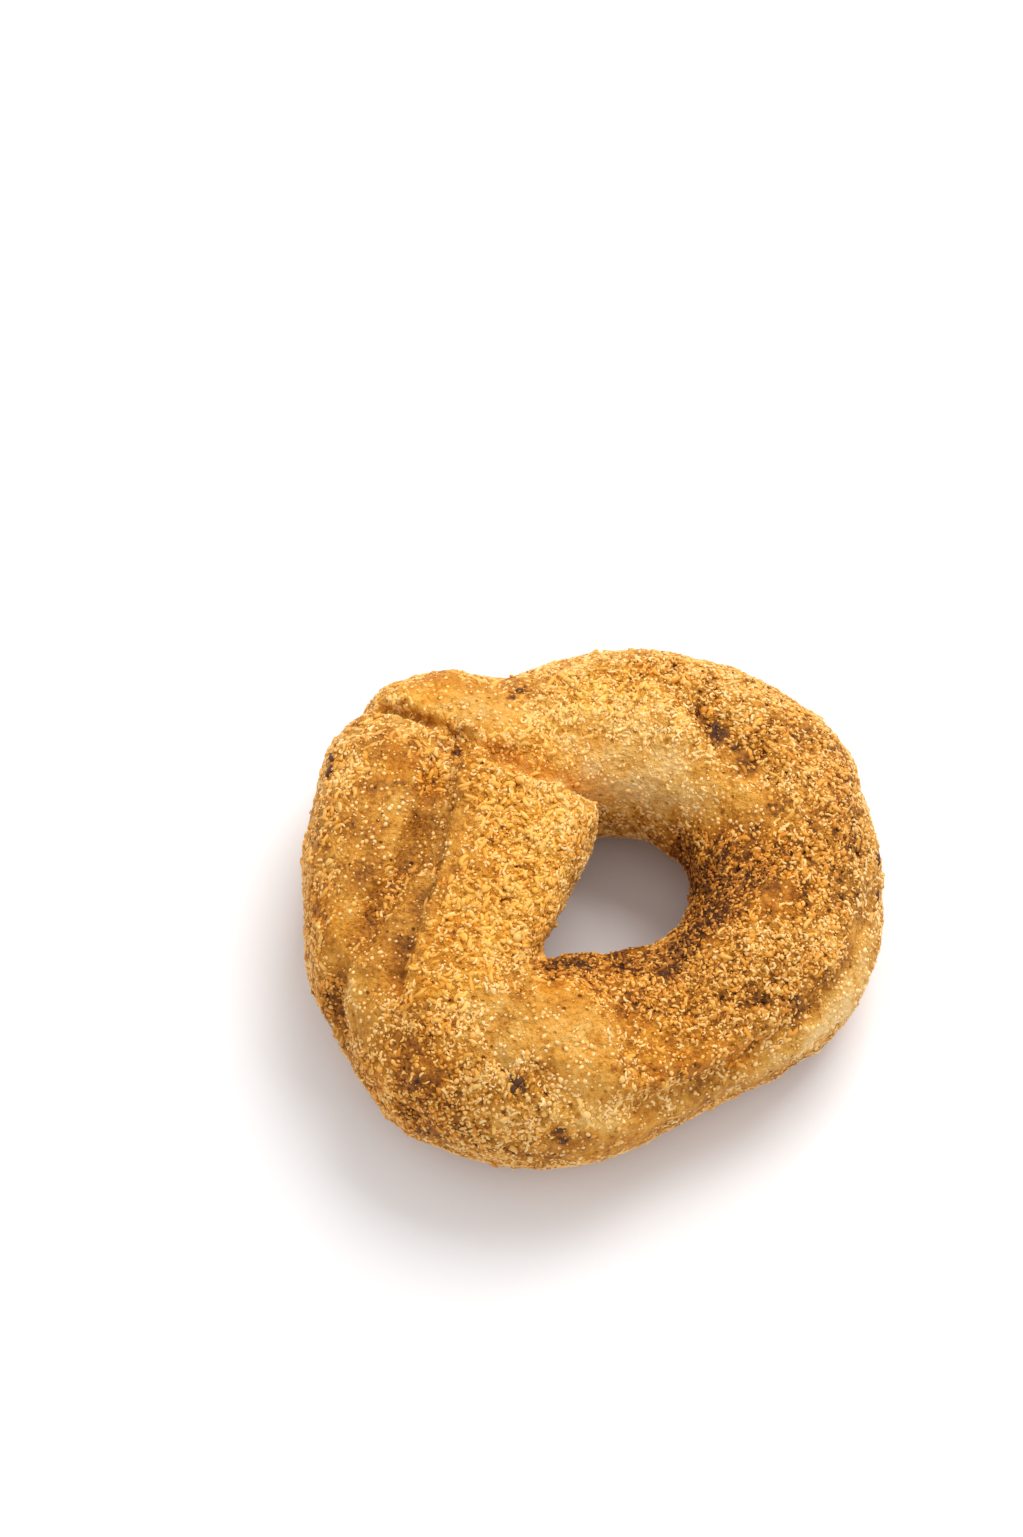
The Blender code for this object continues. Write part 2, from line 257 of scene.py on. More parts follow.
CRUMBY = [
    (-8.0, 4.0, 27.0, 6.0), (-9.0, -4.0, 26.0, 6.0), (-6.0, 10.0, 26.0, 4.0),
    (-12.0, 8.0, 26.0, 5.0), (-13.0, -8.0, 27.0, 5.0), (-8.0, -10.0, 24.0, 4.0),
    (14.0, 24.0, 24.5, 7.0), (22.0, 20.0, 24.0, 6.0), (27.0, 12.0, 25.0, 6.0),
    (30.0, 4.0, 24.0, 7.0), (29.0, -6.0, 23.0, 6.0), (24.0, -12.0, 23.5, 6.0),
    (18.0, -17.0, 23.0, 6.0), (12.0, -18.0, 23.0, 6.0), (8.0, -14.0, 22.0, 5.0),
    (16.0, 0.0, 21.0, 5.0), (22.0, -2.0, 24.0, 5.0), (5.0, 27.0, 24.0, 6.0),
    (-2.0, 27.0, 22.0, 4.0), (-18.0, -22.0, 25.5, 5.0, 0.5), (-14.0, -29.0, 23.5, 5.0, 0.6),
    (-9.0, -32.0, 22.0, 5.0, 0.6), (-20.0, -27.0, 22.0, 5.0, 0.4), (14.0, 31.0, 21.0, 6.0),
    (24.0, 26.0, 22.0, 6.0), (32.0, 16.0, 22.0, 5.0), (34.0, 6.0, 21.0, 5.0),
    (-16.0, 14.0, 24.0, 3.5), (-20.0, 15.0, 23.5, 3.0),
]
# Toasted spots: partly crust toasted brown, partly painted shade where the crust lies in shadow.
TOASTED_AND_SHADED = [
    (21.9, -1.8, 23.7, 4.0, 0.20), (27.1, -4.8, 23.8, 4.0, 0.14), (19.5, 5.8, 22.6, 4.0, 0.20),
    (25.9, 2.3, 24.2, 4.0, 0.08), (32.6, 0.1, 22.4, 4.0, 0.14), (34.4, 10.8, 21.4, 4.0, 0.20),
    (34.9, 5.0, 21.2, 4.0, 0.20), (34.2, 17.7, 19.2, 4.0, 0.16), (-5.2, -13.6, 23.0, 3.0, 0.40),
    (-1.9, -13.4, 22.3, 3.2, 0.42), (2.1, -10.9, 18.7, 3.5, 0.42), (0.6, -16.7, 23.6, 3.0, 0.22),
    (5.8, -18.7, 23.2, 3.5, 0.24), (8.4, -19.4, 22.8, 3.0, 0.20), (9.6, -13.4, 22.4, 3.5, 0.40),
    (-22.9, -32.1, 14.6, 3.5, 0.26), (-19.6, -34.3, 15.0, 3.5, 0.22), (-17.0, -35.1, 15.2, 3.5, 0.2),
    (-17.8, 15.1, 24.9, 3.0, 0.10), (-16.4, 10.9, 25.9, 3.0, 0.10), (-19.2, -2.9, 26.2, 3.0, 0.12),
    (14.9, 0.1, 19.1, 4.0, 0.50), (20.3, -11.8, 23.8, 3.5, 0.16), (22.9, -13.7, 23.1, 3.5, 0.16),
    (-37.7, -2.7, 18.9, 5.0, 0.12), (-36.3, -15.0, 13.9, 6.0, 0.14), (-30.9, -25.9, 12.8, 6.0, 0.16),
    (-8.0, -36.5, 12.0, 6.0, 0.10), (18.7, -1.3, 22.5, 4.5, 0.27), (32.5, 14.5, 21.8, 3.5, 0.16),
    (-20.5, -26.0, 22.5, 5.0, 0.18), (-23.0, -22.0, 23.5, 4.0, 0.12), (14.5, -17.0, 22.8, 5.0, 0.18),
    (26.0, 18.0, 23.5, 4.5, 0.12), (19.0, -16.0, 22.8, 4.5, 0.16), (13.2, 3.0, 14.0, 6.0, 0.46),
    (-23.0, -5.0, 23.4, 2.5, 0.06), (-21.5, 5.0, 23.6, 2.0, 0.06), (-24.5, -12.0, 23.6, 2.5, 0.08),
    (-4.6, -14.2, 23.3, 3.0, 0.15), (-0.6, -13.2, 21.8, 3.0, 0.25), (3.4, -12.2, 20.4, 3.5, 0.35),
    (7.3, -12.0, 21.3, 3.5, 0.38), (11.3, -10.1, 21.2, 3.5, 0.38), (14.4, -6.7, 21.5, 3.5, 0.42),
    (15.7, -2.1, 20.8, 3.5, 0.44), (16.2, 2.4, 20.6, 3.5, 0.44), (18.8, 3.1, 22.3, 3.0, 0.25),
    (17.9, -4.3, 22.8, 3.0, 0.28), (12.5, -13.4, 22.3, 3.5, 0.22), (7.8, -17.2, 23.0, 3.5, 0.20),
    (19.9, -1.6, 23.2, 3.0, 0.20), (23.1, -5.0, 24.3, 3.0, 0.10), (12.8, -4.1, 17.5, 5.0, 0.32),
    (13.7, 3.0, 16.0, 5.0, 0.32), (4.0, -9.0, 16.0, 5.0, 0.30), (12.4, -18.4, 22.7, 4.5, 0.14),
    (17.6, -19.5, 21.9, 5.0, 0.12), (20.3, -15.7, 22.7, 4.5, 0.12), (27.0, -18.0, 19.6, 4.0, 0.15),
    (22.0, -9.0, 24.0, 4.0, 0.10), (30.6, 19.4, 22.1, 4.0, 0.10), (34.5, 12.5, 20.8, 4.0, 0.16),
    (35.5, 2.3, 20.7, 4.0, 0.10), (32.4, -6.8, 21.8, 4.0, 0.06), (31.5, 7.0, 23.3, 3.5, 0.14),
    (33.9, -3.5, 20.9, 3.5, 0.08), (29.6, -12.4, 21.6, 3.5, 0.10), (26.3, 15.1, 24.8, 3.0, 0.08),
    (14.4, 21.8, 24.4, 1.6, 0.30), (16.4, 19.5, 24.1, 2.0, 0.38), (20.6, 14.8, 23.9, 1.7, 0.26),
    (-28.5, 17.8, 23.9, 3.0, 0.12), (-24.5, 16.8, 24.5, 3.0, 0.12), (-21.8, 15.6, 23.8, 2.5, 0.10),
    (-21.7, -0.2, 23.3, 2.5, 0.05), (-25.4, -25.9, 20.4, 3.0, 0.12), (-21.5, -30.2, 20.7, 3.0, 0.20),
    (-19.5, -32.3, 18.9, 3.0, 0.24), (-24.1, -29.5, 19.0, 3.5, 0.18), (-22.8, -31.7, 17.4, 3.5, 0.2),
    (-16.3, -34.9, 16.6, 3.5, 0.10), (-27.6, -29.6, 11.6, 5.0, 0.12), (-36.2, 6.3, 21.0, 4.0, 0.08),
    (-18.5, 17.8, 22.4, 1.8, 0.10), (-20.5, 19.2, 22.5, 2.0, 0.06), (-24.8, -13.4, 24.0, 1.6, 0.08),
    (-24.8, -15.4, 23.8, 1.2, 0.12), (-4.6, -35.6, 17.5, 1.8, 0.15),
    (-28.4, 25.2, 20.1, 0.9, 0.40), (-26.2, 24.3, 21.2, 0.8, 0.45), (-24.1, 23.1, 21.8, 0.9, 0.45),
    (-22.2, 22.1, 22.0, 0.8, 0.35), (-3.0, -11.5, 20.0, 3.0, 0.40), (0.0, -10.8, 17.0, 4.0, 0.45),
    (22.0, -2.2, 24.0, 3.0, 0.20), (32.0, -4.0, 22.3, 2.5, 0.20), (24.5, 8.2, 24.3, 2.5, 0.16),
    (16.3, -20.8, 21.6, 3.0, 0.18), (21.6, -18.0, 21.5, 3.0, 0.16), (-30.8, 4.5, 24.4, 4.0, 0.12),
    (-31.5, -1.0, 23.8, 3.5, 0.10), (-30.0, 10.0, 24.2, 3.5, 0.10), (-22.5, -25.5, 22.0, 5.0, 0.12),
]
# Light spots: partly paler dough, partly painted light on shaded places and painted highlights.
PALE_AND_LIT = [
    (-22.6, 25.1, 22.7, 3.5, 0.22), (-19.2, 24.7, 23.4, 3.5, 0.20), (-15.8, 23.0, 23.2, 3.5, 0.18),
    (-12.4, 21.8, 22.5, 3.5, 0.18), (-3.0, 15.7, 20.3, 3.5, 0.24), (1.0, 13.4, 18.5, 4.0, 0.30),
    (5.0, 12.7, 18.5, 4.0, 0.32), (9.0, 12.1, 19.2, 4.0, 0.30), (13.0, 11.4, 21.0, 4.0, 0.24),
    (2.0, 22.5, 24.0, 4.5, 0.18), (8.0, 22.0, 24.5, 4.5, 0.17), (13.0, 18.0, 24.5, 4.0, 0.16),
    (-32.8, -13.8, 20.0, 3.5, 0.14),
    (-31.4, -17.7, 20.7, 3.5, 0.12), (-7.2, -23.7, 25.5, 4.0, 0.08), (-12.4, -22.8, 25.1, 3.0, 0.06),
    (-2.7, -24.3, 25.3, 4.0, 0.08), (-3.3, -33.3, 20.0, 3.5, 0.22), (0.6, -33.7, 19.1, 3.5, 0.26),
    (35.4, -12.5, 14.8, 4.0, 0.24), (32.5, -17.0, 14.8, 4.0, 0.32), (29.1, -20.4, 14.1, 4.0, 0.38),
    (-6.5, -3.1, 26.5, 3.0, 0.06), (-8.5, -7.2, 26.3, 3.0, 0.06),
    (-3.0, 25.1, 22.6, 4.0, 0.08), (2.3, 20.1, 23.6, 4.0, 0.10), (6.3, 16.2, 22.6, 4.5, 0.16),
    (1.0, 14.9, 20.5, 4.0, 0.34), (6.4, 13.1, 19.6, 4.5, 0.41), (10.3, 18.2, 24.6, 4.0, 0.08),
    (14.3, 10.6, 21.9, 4.0, 0.24), (-4.4, 22.1, 22.6, 3.5, 0.20), (9.2, 10.5, 15.6, 4.0, 0.16),
    (14.3, 15.3, 24.3, 3.5, 0.08), (-26.0, 24.5, 21.3, 3.0, 0.15), (-22.6, 22.6, 22.3, 3.0, 0.15),
    (-9.7, 16.0, 19.8, 3.0, 0.20), (-5.7, 15.0, 19.8, 3.0, 0.20), (-20.6, 26.7, 22.4, 3.5, 0.05),
    (-4.6, -32.9, 20.7, 3.5, 0.12), (-2.1, -30.9, 22.7, 3.5, 0.10), (0.6, -32.8, 20.3, 3.5, 0.12),
    (-6.5, -35.8, 17.1, 3.0, 0.10), (5.8, -32.4, 17.4, 3.5, 0.06), (-0.7, -35.4, 14.5, 3.5, 0.08),
    (35.6, -8.0, 17.0, 3.4, 0.10), (34.0, -14.0, 15.5, 3.8, 0.16), (24.5, -23.0, 14.0, 3.5, 0.12),
    (-32.5, 2.2, 24.0, 2.5, 0.10), (-33.2, -5.4, 23.5, 2.5, 0.10), (-18.2, -21.0, 25.6, 3.5, 0.10),
    (-18.8, -24.7, 24.4, 3.5, 0.08), (-12.4, -27.3, 24.1, 3.0, 0.08),
    (-3.1, -1.9, 17.1, 3.5, 0.10), (-8.0, 4.0, 27.0, 4.0, 0.05), (14.8, 31.2, 21.0, 4.0, 0.06),
    (22.6, 24.8, 23.3, 4.0, 0.06), (30.5, 16.1, 22.7, 2.5, 0.10),
    (31.0, -10.9, 21.4, 2.5, 0.10), (22.0, -12.0, 23.5, 3.0, 0.10), (3.7, 16.4, 22.1, 4.0, 0.31),
    (9.0, 14.7, 22.6, 4.5, 0.38), (-4.4, 19.4, 22.1, 4.0, 0.22), (-7.1, 21.6, 22.1, 3.5, 0.18),
    (-26.6, 14.0, 24.5, 3.0, 0.06), (-26.4, 9.0, 24.8, 3.0, 0.07), (-26.6, 3.5, 25.0, 3.0, 0.06),
    (-27.8, -1.5, 24.0, 2.5, 0.06), (18.5, 9.5, 24.0, 4.0, 0.18), (19.5, 11.5, 24.0, 3.0, 0.12),
    (-3.3, -31.0, 22.4, 3.0, 0.18), (9.0, -30.4, 16.4, 3.0, 0.14), (-8.5, 15.5, 19.8, 3.0, 0.30),
    (-4.5, 14.6, 19.6, 3.0, 0.32),
    (3.2, -33.6, 18.7, 3.5, 0.26), (7.1, -33.0, 16.1, 3.0, 0.10), (-12.4, -33.9, 19.7, 3.5, 0.06),
]
AMBER = [
    (-19.5, -16.5, 26.5, 3.0), (-17.6, -17.9, 26.5, 3.0), (-20.2, -18.4, 26.2, 3.0),
    (13.3, 3.3, 11.7, 6.0), (12.8, -4.1, 18.8, 4.0), (25.7, -5.3, 23.9, 3.0),
    (19.2, -4.6, 23.5, 3.5), (0.8, -11.1, 19.2, 4.0), (-15.8, 13.8, 26.1, 3.0),
    (-13.7, 10.0, 26.4, 3.0), (-6.1, 19.0, 21.9, 2.5), (-11.1, 1.6, 27.3, 4.0),
    (-7.2, -0.4, 27.0, 3.5), (-28.1, -28.4, 15.8, 5.0), (-25.5, -31.7, 13.4, 5.0),
    (24.6, -4.6, 24.1, 3.0), (27.1, -3.4, 23.9, 3.0), (21.8, -4.9, 24.1, 2.6),
    (9.3, -22.7, 22.0, 3.2), (5.8, -21.7, 23.2, 3.2), (13.6, -23.4, 21.1, 3.2),
    (-13.2, 1.0, 27.4, 4.0), (-13.7, -3.5, 27.5, 4.0), (-15.2, -15.6, 26.7, 3.6),
    (-4.6, -17.0, 24.5, 3.2), (0.6, -16.7, 23.6, 3.2), (13.7, -25.6, 19.6, 3.2),
    (19.0, -24.5, 16.8, 3.2), (1.0, 26.5, 22.9, 4.2), (6.5, 27.6, 23.7, 4.2),
    (-12.4, 21.0, 22.3, 3.5), (-21.8, 12.6, 23.8, 2.6), (23.3, 2.4, 23.9, 3.2),
    (15.7, -2.1, 20.8, 5.0), (16.2, 2.4, 20.6, 5.0), (14.4, -6.7, 21.5, 4.5),
    (3.4, -12.2, 20.4, 3.8), (-22.8, -31.0, 18.0, 5.0), (-20.0, -13.0, 26.7, 3.2),
    (-25.8, 15.2, 24.6, 3.4), (-36.0, -6.4, 21.0, 4.0), (-24.1, -17.9, 24.8, 3.2),
    (11.0, -21.0, 22.3, 3.8), (5.8, -20.1, 23.2, 3.8), (-20.6, 26.7, 22.4, 5.0),
    (-9.0, -4.0, 26.5, 5.0), (-13.0, -8.5, 27.0, 4.5), (-10.0, 5.0, 27.0, 4.5),
    (-8.5, 15.5, 19.8, 4.0), (-5.0, 15.5, 20.5, 4.0), (8.4, -24.5, 21.5, 5.0),
    (-8.0, 0.5, 26.9, 5.0), (-22.0, -26.0, 22.0, 5.0),
    (-17.6, -6.0, 26.8, 4.0), (-15.0, -12.0, 26.9, 4.0), (-19.0, -9.5, 26.8, 3.0),
]
DUSTY = [
    (-16.5, 24.0, 23.2, 3.0), (-13.8, 22.1, 22.7, 3.0), (-11.8, 19.4, 22.0, 2.5),
    (-1.0, 16.1, 21.2, 4.0, 0.3), (3.7, 14.8, 20.8, 4.0, 0.3), (8.4, 12.7, 20.4, 4.0, 0.4),
    (11.7, 12.0, 21.9, 4.0, 0.4), (36.9, -9.3, 14.1, 5.0), (35.4, -13.7, 14.3, 5.0),
    (32.7, -17.5, 13.2, 5.0), (29.5, -20.2, 10.9, 5.0), (-13.0, -23.5, 25.0, 2.5),
    (-11.1, -26.1, 24.5, 2.5), (-25.7, 9.2, 25.0, 2.5), (-25.0, 2.6, 23.4, 2.5),
    (38.0, 2.0, 16.0, 5.0), (36.0, 12.0, 17.0, 4.0), (-24.5, -8.0, 23.6, 2.5),
    (36.6, 0.3, 18.8, 5.0), (37.4, 6.2, 18.5, 4.0), (37.2, -4.3, 15.9, 4.5),
    (-18.4, 13.9, 23.8, 2.4), (-19.6, 6.8, 23.6, 2.4), (-20.3, 2.5, 23.6, 2.4),
    (-21.6, -3.2, 23.8, 2.4), (-23.4, -8.0, 23.8, 2.4), (-12.5, -20.5, 25.4, 3.0),
    (-11.5, -23.5, 25.0, 3.0), (-14.5, -22.0, 25.6, 3.0), (24.0, -24.0, 13.0, 4.0),
    (18.0, -27.0, 13.0, 4.0), (12.0, -30.0, 14.0, 4.0), (34.0, -16.0, 12.0, 5.0),
]
BURNT = [
    (-10.2, -30.4, 23.4, 0.72), (-9.8, -29.5, 23.7, 0.52), (-10.7, -31.0, 23.2, 0.6),
    (-11.2, -30.0, 23.7, 0.4), (-9.5, -31.1, 23.2, 0.42), (-11.5, -31.9, 22.8, 0.3),
    (-18.2, 17.4, 22.3, 0.35), (-17.8, 16.4, 22.7, 0.3), (-4.6, -35.1, 18.3, 0.5),
    (-4.1, -35.9, 16.5, 0.5),
    (19.1, 17.8, 23.7, 0.55), (16.4, 21.0, 24.0, 0.45), (38.6, 4.5, 16.5, 0.7),
    (38.9, -0.5, 15.0, 0.6), (-9.9, 27.5, 20.8, 0.45), (-10.8, 26.2, 21.3, 0.35),
    (-8.7, 27.1, 20.9, 0.35), (-35.4, 17.5, 20.7, 0.7), (-35.7, 15.3, 20.6, 0.75),
]
places = {
    "bare": BARE, "crumby": CRUMBY, "toasted_and_shaded": TOASTED_AND_SHADED, "pale_and_lit": PALE_AND_LIT,
    "amber": AMBER, "dusty": DUSTY, "burnt": BURNT,
}
print({name: len(spots) for name, spots in places.items()})

# %% [markdown]
# ## The folds
# Pressing the lap down left sharp folds that the smoothing softened. Each is drawn again as a
# route over the crust, with its depth, its half-width and how far the dough swells on the left
# and on the right of the way the route runs, in millimetres. A depth below 0 is a ridge, and 0 is
# an edge with only a swelling. The width wobbles, so that a fold looks torn rather than ruled.
# Then the rim of the hole is tucked in or puffed out a little, as
# with the grab brush in sculpt mode.

# %% Press the folds
LAP_FOOT = [
    (-18.0, 18.7, 22.6), (-18.4, 13.9, 23.8), (-18.9, 10.4, 23.8), (-19.4, 6.8, 23.6),
    (-20.0, 3.1, 23.6), (-21.4, -3.2, 23.8), (-22.6, -6.4, 23.8), (-23.7, -8.9, 23.8),
    (-25.0, -13.3, 23.6), (-25.6, -16.7, 23.0),
]
LAP_VALLEY = [
    (-25.8, -19.7, 22.6), (-25.9, -23.5, 21.4), (-25.8, -26.8, 19.7), (-24.8, -29.7, 17.4),
    (-23.5, -32.0, 14.2),
]
SIDE_FOLD = [
    (-21.8, 11.1, 24.0), (-22.7, 6.6, 23.9), (-23.9, 2.0, 23.1), (-25.6, -1.5, 22.9),
    (-28.0, -5.0, 22.7), (-29.5, -7.9, 22.7), (-30.9, -10.6, 22.5), (-33.0, -12.9, 20.4),
    (-34.1, -15.6, 16.2), (-33.7, -18.5, 12.7),
]
PULL = [
    (-9.7, -18.2, 25.0), (-11.7, -21.4, 25.3), (-13.4, -24.9, 24.9), (-12.6, -28.0, 24.1),
    (-11.1, -30.4, 23.1), (-8.5, -33.2, 21.4), (-5.1, -34.9, 18.6), (-3.9, -36.1, 16.1),
]
CRACK = [
    (-31.0, 26.0, 19.5), (-28.1, 25.1, 20.2), (-25.3, 23.8, 21.5), (-21.9, 21.9, 22.0),
    (-18.5, 20.2, 22.0),
]
LAP_EDGE = [(-18.5, 20.2, 22.0), (-15.1, 19.1, 21.4), (-11.1, 17.6, 20.6), (-7.1, 15.2, 19.6)]
CRUMB_FURROW = [
    (12.9, 24.4, 24.6), (15.1, 22.0, 24.3), (17.1, 20.2, 24.0), (19.7, 17.4, 23.8),
    (22.3, 13.6, 24.2), (24.2, 11.7, 24.3),
]
SHOULDER = [
    (36.9, -2.1, 17.5), (35.6, -7.4, 18.3), (33.5, -12.0, 18.6), (31.0, -15.5, 18.4),
    (27.6, -18.3, 18.2), (24.3, -21.1, 18.0), (20.6, -23.4, 17.4), (16.4, -25.9, 16.7),
    (12.4, -28.1, 16.9), (7.1, -30.5, 17.8), (1.8, -32.5, 18.6),
]
NEAR_GROOVE = [
    (-7.2, -29.3, 23.8), (-3.3, -31.3, 22.3), (1.2, -32.3, 20.6), (5.8, -31.9, 18.0),
    (11.1, -29.5, 15.8), (15.8, -27.0, 15.8),
]
FOLD_WOBBLE = 0.4
SWELLING_AT = 2.2
SWELLING_WIDTH = 1.1
FOLDS = [
    (LAP_FOOT, 0.6, 1.1, 0.6, 0.0),
    (LAP_VALLEY, -0.3, 1.2, 0.0, 0.0),
    (SIDE_FOLD, 0.9, 1.5, 0.5, 0.3),
    (PULL, 0.4, 0.9, 0.2, 0.1),
    (CRACK, 1.5, 0.65, 0.1, 0.4),
    (LAP_EDGE, 0.0, 0.8, 0.0, 0.2),
    (CRUMB_FURROW, 0.5, 1.6, 0.2, 0.2),
    (SHOULDER, 0.5, 1.3, 0.2, 0.4),
    (NEAR_GROOVE, 0.5, 1.8, 0.5, 0.1),
]

TUCKED_IN = [
    (-10.5, 16.0, 22.5, 3.0, 0.5), (-6.5, 14.0, 23.0, 3.0, 0.8), (-2.5, 11.5, 23.0, 3.0, 0.9),
    (0.8, 9.0, 21.0, 3.0, 0.4), (0.0, 5.0, 19.0, 3.5, 0.1), (-1.8, 0.4, 18.0, 3.5, 0.1),
    (-3.8, -3.5, 18.0, 3.5, 0.5), (-6.0, -9.0, 18.0, 3.5, 1.1), (12.6, -3.8, 18.0, 3.5, 0.8),
    (13.0, 0.0, 17.0, 3.0, 0.6),
]
PUFFED_OUT = [
    (1.0, 11.5, 9.0, 4.5, 1.3), (3.0, 10.5, 10.0, 4.5, 1.2), (8.0, 9.5, 10.0, 4.5, 1.0),
    (-3.9, -11.5, 20.0, 3.0, 0.5),
    (0.0, -11.0, 19.0, 3.0, 0.5), (4.0, -10.5, 18.0, 3.5, 0.5),
]


def push(piece, distance_mm):
    """Moves the piece's corners along their normals."""
    corners, normals = surface(piece)
    moved = (corners + normals * distance_mm[:, None]) * MM
    piece.data.vertices.foreach_set("co", moved.ravel())
    piece.data.update()


corners, normals = surface(dough)
wobble = 1 + FOLD_WOBBLE * cloud(corners, 3.0, 11)
folds = np.zeros(len(corners))
in_fold = np.zeros(len(corners))
for route, depth, width, left, right in FOLDS:
    away, side = route_distance(corners, route)
    away = away / (width * wobble)
    folds -= depth * np.exp(-(away**2))
    swelling = np.exp(-(((away - SWELLING_AT) / SWELLING_WIDTH) ** 2))
    folds += np.where(side > 0, left, right) * swelling
    in_fold = np.maximum(in_fold, np.exp(-(away**2)) * min(depth, 1.0))
folds += fade(corners, PUFFED_OUT) - fade(corners, TUCKED_IN)
push(dough, folds)
print("folds reach", round(float(folds.min()), 2), "mm deep")

# %% [markdown]
# ## The crumbly crust
# Where crumbs stuck, the crust itself is rough. Sugar melted and set again as a tangle of short
# threads, which is noise folded at its zero, with small pits between them. Bare dough has only
# soft waves and fine pores. The relief is pushed into the mesh, not painted, so it shows on the
# outline too. The skin also sinks a little, to make room for the crumbs that are laid on it.
# Heights and depths are in millimetres.

# %% Roughen the crust
TABLE_CLEARANCE = 1.2
LOW_SIDE = 9.0
COAT_EVERYWHERE = 0.42
COAT_PATCHINESS = 0.40
COAT_IF_CRUMBY = 0.55
COAT_IF_BARE = -1.10
ROOM_FOR_CRUMBS = 0.38
LUMPS_HIGH = 0.24
TANGLE_HIGH = 0.26
PITS_DEEP = 0.50
WAVES_HIGH = 0.14
RIPPLES_HIGH = 0.15
PORES_DEEP = 0.20
BARE_SUNK = 0.1

corners, normals = surface(dough)
height = corners[:, 2]
bare = fade(corners, BARE)
patchy = cloud(corners, 6.0, 3)
coat = COAT_EVERYWHERE + COAT_PATCHINESS * patchy + COAT_IF_CRUMBY * fade(corners, CRUMBY)
coat = np.clip(coat + COAT_IF_BARE * bare, 0, 1)
coat *= at_least(0.35, step(height, 3.0, LOW_SIDE))
off_table = step(height, 0.15, TABLE_CLEARANCE)

lumps = cloud(corners, 2.6, 5)
tangle = 1 - np.clip(np.abs(cloud(corners, 1.3, 7, 1)) * 4.0, 0, 1)
near_pit = cells(corners, 1.5, 9)[0]
pits = (1 - step(near_pit, 0.16, 0.36)) * step(cloud(corners, 3.0, 10), -0.35, 0.1)
pores = step(cloud(corners, 0.9, 13, 1), 0.38, 0.5)

rough = LUMPS_HIGH * lumps + TANGLE_HIGH * tangle - PITS_DEEP * pits - ROOM_FOR_CRUMBS
plain = WAVES_HIGH * cloud(corners, 3.4, 15) + RIPPLES_HIGH * cloud(corners, 1.1, 17)
plain = plain - PORES_DEEP * pores - BARE_SUNK
relief = (coat * rough + (1 - coat) * plain) * off_table
push(dough, relief)
print("relief from", round(float(relief.min()), 2), "to", round(float(relief.max()), 2), "mm")

# %% [markdown]
# ## How far each place is baked, with painted light and shade
# One value runs from 0 for cream through 0.4 for gold to 1 for dark brown. It holds how far each
# place is baked and also painted light and shade. Toasted spots raise it and light spots lower it,
# partly as painted shade and light. Folds and pits raise it as painted shade in the hollows, raised
# lumps lower it as painted light, the sugar threads lower it because they are pale, and the right
# half of the coat is a little darker. The low sides are darker towards the bottom. Amber is its own
# value, because melted sugar deepens the colour without browning it. It is 0.5 on plain dough, more
# in the amber places and less in the dusty ones. The materials only read these values.

# %% Store the baking and the painted light and shade on the dough
GOLD = 0.475
TOASTING_AND_SHADING = 1.25
LIGHTENING_AND_LIT = 1.15
PAINTED_SHADE_IN_FOLDS = 0.18
BURNT_RING = 1.5

corners, normals = surface(dough)
toasted_and_shaded = fade(corners, TOASTED_AND_SHADED)
pale_and_lit = fade(corners, PALE_AND_LIT)
amber = fade(corners, AMBER) * np.clip(0.9 + 0.8 * cloud(corners, 2.2, 23), 0, 1)
dusty = fade(corners, DUSTY)
burnt = fade(corners, [(x, y, z, size * BURNT_RING) for x, y, z, size in BURNT])

right_side = step(corners[:, 0], 2.0, 12.0)
bake_and_painted_light = GOLD + 0.10 * cloud(corners, 9.0, 21) + 0.12 * cloud(corners, 2.4, 22)
# Toasted spots darken and light spots lighten the colour: real toasting and paler dough, with
# painted shade and painted light.
bake_and_painted_light += TOASTING_AND_SHADING * toasted_and_shaded - LIGHTENING_AND_LIT * pale_and_lit
# On the coat: pits darker, painted shade in the hollows; raised lumps paler, painted light; pale
# sugar threads paler; the right half a little darker.
bake_and_painted_light += coat * (0.02 + 0.09 * right_side + 0.24 * pits - 0.10 * lumps - 0.16 * tangle)
# Darker towards the bottom of the sides.
bake_and_painted_light += 0.06 * (1 - step(corners[:, 2], 4.0, 12.0))
# Folds darker, painted shade in the creases; crust darker around the burnt bits.
bake_and_painted_light += PAINTED_SHADE_IN_FOLDS * in_fold + 0.50 * burnt
keep(dough, "bake_and_painted_light", np.clip(bake_and_painted_light, 0.0, 1.0))
keep(dough, "amber", 0.5 + 0.15 * coat + 0.6 * amber - 0.4 * dusty)
keep(dough, "coat", coat)
dough.data.shade_smooth()
print("bake from", round(float(bake_and_painted_light.min()), 2), "to", round(float(bake_and_painted_light.max()), 2))

# %% [markdown]
# ## Crumb shapes
# A grain is a ball of twenty faces with its corners shaken, so that no two sides are alike. A
# thread is a ring of five corners, extruded along a bend and narrow at both ends. Some are
# stubby beans and some are thin curls. A dozen of each are modelled once. Copied at many sizes
# and turns, they don't look repeated, and with so few faces thousands of them stay light.

# %% Model the crumb shapes
SHAPES_EACH = 12
SHAKE = 0.22


def edit_all():
    bpy.ops.object.mode_set(mode="EDIT")
    bpy.ops.mesh.select_all(action="SELECT")


def as_arrays(piece):
    """The corners around their middle and the triangles, and the piece itself is removed."""
    corners = np.array([corner.co for corner in piece.data.vertices])
    faces = np.array([list(face.vertices) for face in piece.data.polygons])
    bpy.data.objects.remove(piece)
    return corners - corners.mean(axis=0), faces


def grain_shape(number):
    bpy.ops.mesh.primitive_ico_sphere_add(subdivisions=1, radius=1.0)
    grain = bpy.context.object
    edit_all()
    bpy.ops.transform.vertex_random(offset=SHAKE, uniform=0.6, normal=0.4, seed=number + 1)
    bpy.ops.object.mode_set(mode="OBJECT")
    return as_arrays(grain)


